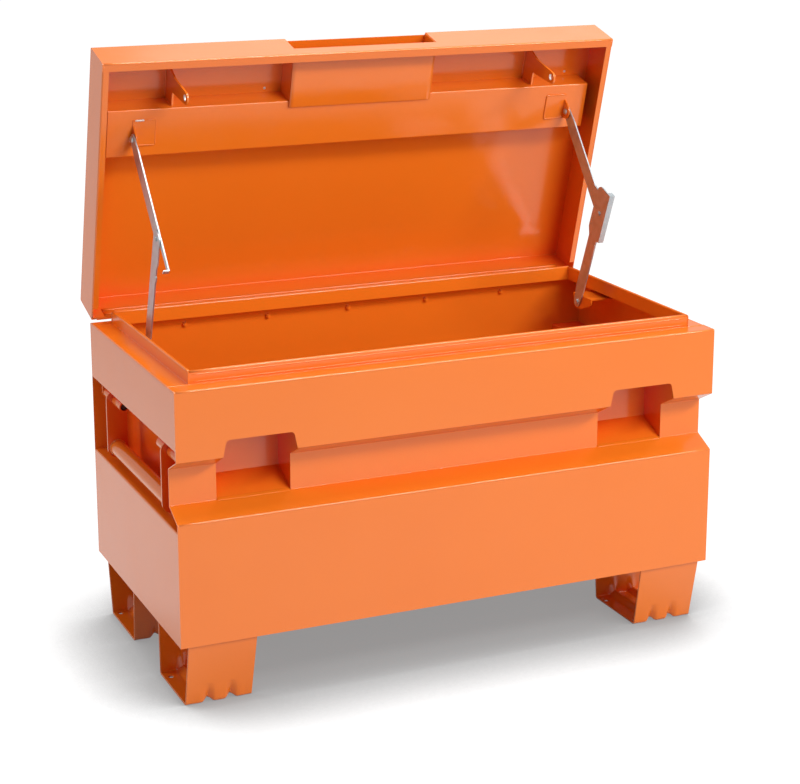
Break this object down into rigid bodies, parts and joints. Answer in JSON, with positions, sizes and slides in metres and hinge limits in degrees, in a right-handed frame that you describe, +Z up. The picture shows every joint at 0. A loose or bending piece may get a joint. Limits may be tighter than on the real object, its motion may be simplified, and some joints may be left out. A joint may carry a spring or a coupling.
{
  "type": "jobsite storage box",
  "caption": "Steel jobsite storage box with a hinged lid on folding stays, recessed padlock pockets, drop handles in the ends and ribbed channel feet for a forklift.",
  "frame": {"origin": "on the ground at the centre of the four feet", "axes": "+X along the box to its right end as seen from the front, +Y from the front to the hinge side, +Z up"},
  "size_m": [1.2, 0.6988, 1.257],
  "materials": {
    "front_panel": "glossy powder coat",
    "rear_panel": "glossy powder coat",
    "floor_panel": "glossy powder coat",
    "hinge_body_leaf": "glossy powder coat",
    "hinge_pin": "bright zinc plate",
    "hinge_bolts": "bright zinc plate",
    "left_end_lower_panel": "glossy powder coat",
    "left_end_recess_panel": "glossy powder coat",
    "left_end_collar_panel": "glossy powder coat",
    "left_lock_pocket": "glossy powder coat",
    "left_lock_staple": "glossy powder coat",
    "left_front_foot": "glossy powder coat",
    "left_rear_foot": "glossy powder coat",
    "left_handle_mounts": "glossy powder coat",
    "left_stay_body_bracket": "glossy powder coat",
    "right_end_lower_panel": "glossy powder coat",
    "right_end_recess_panel": "glossy powder coat",
    "right_end_collar_panel": "glossy powder coat",
    "right_lock_pocket": "glossy powder coat",
    "right_lock_staple": "glossy powder coat",
    "right_front_foot": "glossy powder coat",
    "right_rear_foot": "glossy powder coat",
    "right_handle_mounts": "glossy powder coat",
    "right_stay_body_bracket": "glossy powder coat",
    "lid_shell": "glossy powder coat",
    "lid_rail": "glossy powder coat",
    "lid_grip_recess": "glossy powder coat",
    "hinge_lid_leaf": "glossy powder coat",
    "left_hasp": "glossy powder coat",
    "left_stay_lid_bracket": "glossy powder coat",
    "left_stay_lid_rivet": "bright zinc plate",
    "right_hasp": "glossy powder coat",
    "right_stay_lid_bracket": "glossy powder coat",
    "right_stay_lid_rivet": "bright zinc plate",
    "left_stay_arm_a": "bright zinc plate",
    "left_stay_knee_rivet": "bright zinc plate",
    "left_stay_arm_b": "bright zinc plate",
    "left_stay_body_rivet": "bright zinc plate",
    "right_stay_arm_b": "bright zinc plate",
    "right_stay_knee_rivet": "bright zinc plate",
    "right_stay_arm_a": "bright zinc plate",
    "right_stay_body_rivet": "bright zinc plate",
    "left_handle_arms": "glossy powder coat",
    "left_handle_grip": "glossy powder coat",
    "right_handle_arms": "glossy powder coat",
    "right_handle_grip": "glossy powder coat"
  },
  "bodies": {
    "body": {"front_panel": "front_panel", "rear_panel": "rear_panel", "floor_panel": "floor_panel", "hinge_body_leaf": "hinge_body_leaf", "hinge_pin": "hinge_pin", "hinge_bolts": "hinge_bolts", "left_end_lower_panel": "left_end_lower_panel", "left_end_recess_panel": "left_end_recess_panel", "left_end_collar_panel": "left_end_collar_panel", "left_lock_pocket": "left_lock_pocket", "left_lock_staple": "left_lock_staple", "left_front_foot": "left_front_foot", "left_rear_foot": "left_rear_foot", "left_handle_mounts": "left_handle_mounts", "left_stay_body_bracket": "left_stay_body_bracket", "right_end_lower_panel": "right_end_lower_panel", "right_end_recess_panel": "right_end_recess_panel", "right_end_collar_panel": "right_end_collar_panel", "right_lock_pocket": "right_lock_pocket", "right_lock_staple": "right_lock_staple", "right_front_foot": "right_front_foot", "right_rear_foot": "right_rear_foot", "right_handle_mounts": "right_handle_mounts", "right_stay_body_bracket": "right_stay_body_bracket"},
    "lid": {"lid_shell": "lid_shell", "lid_rail": "lid_rail", "lid_grip_recess": "lid_grip_recess", "hinge_lid_leaf": "hinge_lid_leaf", "left_hasp": "left_hasp", "left_stay_lid_bracket": "left_stay_lid_bracket", "left_stay_lid_rivet": "left_stay_lid_rivet", "right_hasp": "right_hasp", "right_stay_lid_bracket": "right_stay_lid_bracket", "right_stay_lid_rivet": "right_stay_lid_rivet"},
    "left_upper_stay": {"left_stay_arm_a": "left_stay_arm_a", "left_stay_knee_rivet": "left_stay_knee_rivet"},
    "left_lower_stay": {"left_stay_arm_b": "left_stay_arm_b", "left_stay_body_rivet": "left_stay_body_rivet"},
    "right_upper_stay": {"right_stay_arm_b": "right_stay_arm_b", "right_stay_knee_rivet": "right_stay_knee_rivet"},
    "right_lower_stay": {"right_stay_arm_a": "right_stay_arm_a", "right_stay_body_rivet": "right_stay_body_rivet"},
    "left_handle": {"left_handle_arms": "left_handle_arms", "left_handle_grip": "left_handle_grip"},
    "right_handle": {"right_handle_arms": "right_handle_arms", "right_handle_grip": "right_handle_grip"}
  },
  "joints": [
    {"name": "lid_hinge", "type": "hinge", "parent": "body", "child": "lid", "pos_m": [0, 0.3055, 0.65], "axis": [1, 0, 0], "range_deg": [0, 74]},
    {"name": "left_upper_stay_pivot", "type": "hinge", "parent": "lid", "child": "left_upper_stay", "pos_m": [-0.5135, 0.2217, 1.06342], "axis": [1, 0, 0], "range_deg": [-16.09, 0]},
    {"name": "left_knee", "type": "hinge", "parent": "left_upper_stay", "child": "left_lower_stay", "pos_m": [-0.5155, 0.06165, 0.8819], "axis": [1, 0, 0], "range_deg": [0, 55.16]},
    {"name": "right_upper_stay_pivot", "type": "hinge", "parent": "lid", "child": "right_upper_stay", "pos_m": [0.517, 0.2217, 1.06342], "axis": [1, 0, 0], "range_deg": [-10.63, 0]},
    {"name": "right_knee", "type": "hinge", "parent": "right_upper_stay", "child": "right_lower_stay", "pos_m": [0.5155, 0.0571, 0.85446], "axis": [1, 0, 0], "range_deg": [0, 55.16]},
    {"name": "left_handle_swing", "type": "hinge", "parent": "body", "child": "left_handle", "pos_m": [-0.577, 0, 0.512], "axis": [0, 1, 0], "range_deg": [-13, 90]},
    {"name": "right_handle_swing", "type": "hinge", "parent": "body", "child": "right_handle", "pos_m": [0.577, 0, 0.512], "axis": [0, -1, 0], "range_deg": [-13, 90]}
  ],
  "couplings": [
    {"joint": "left_upper_stay_pivot", "follows": "lid_hinge", "ratio": -0.21729},
    {"joint": "left_knee", "follows": "lid_hinge", "ratio": 0.74533},
    {"joint": "right_upper_stay_pivot", "follows": "lid_hinge", "ratio": -0.14345},
    {"joint": "right_knee", "follows": "lid_hinge", "ratio": 0.74533}
  ]
}
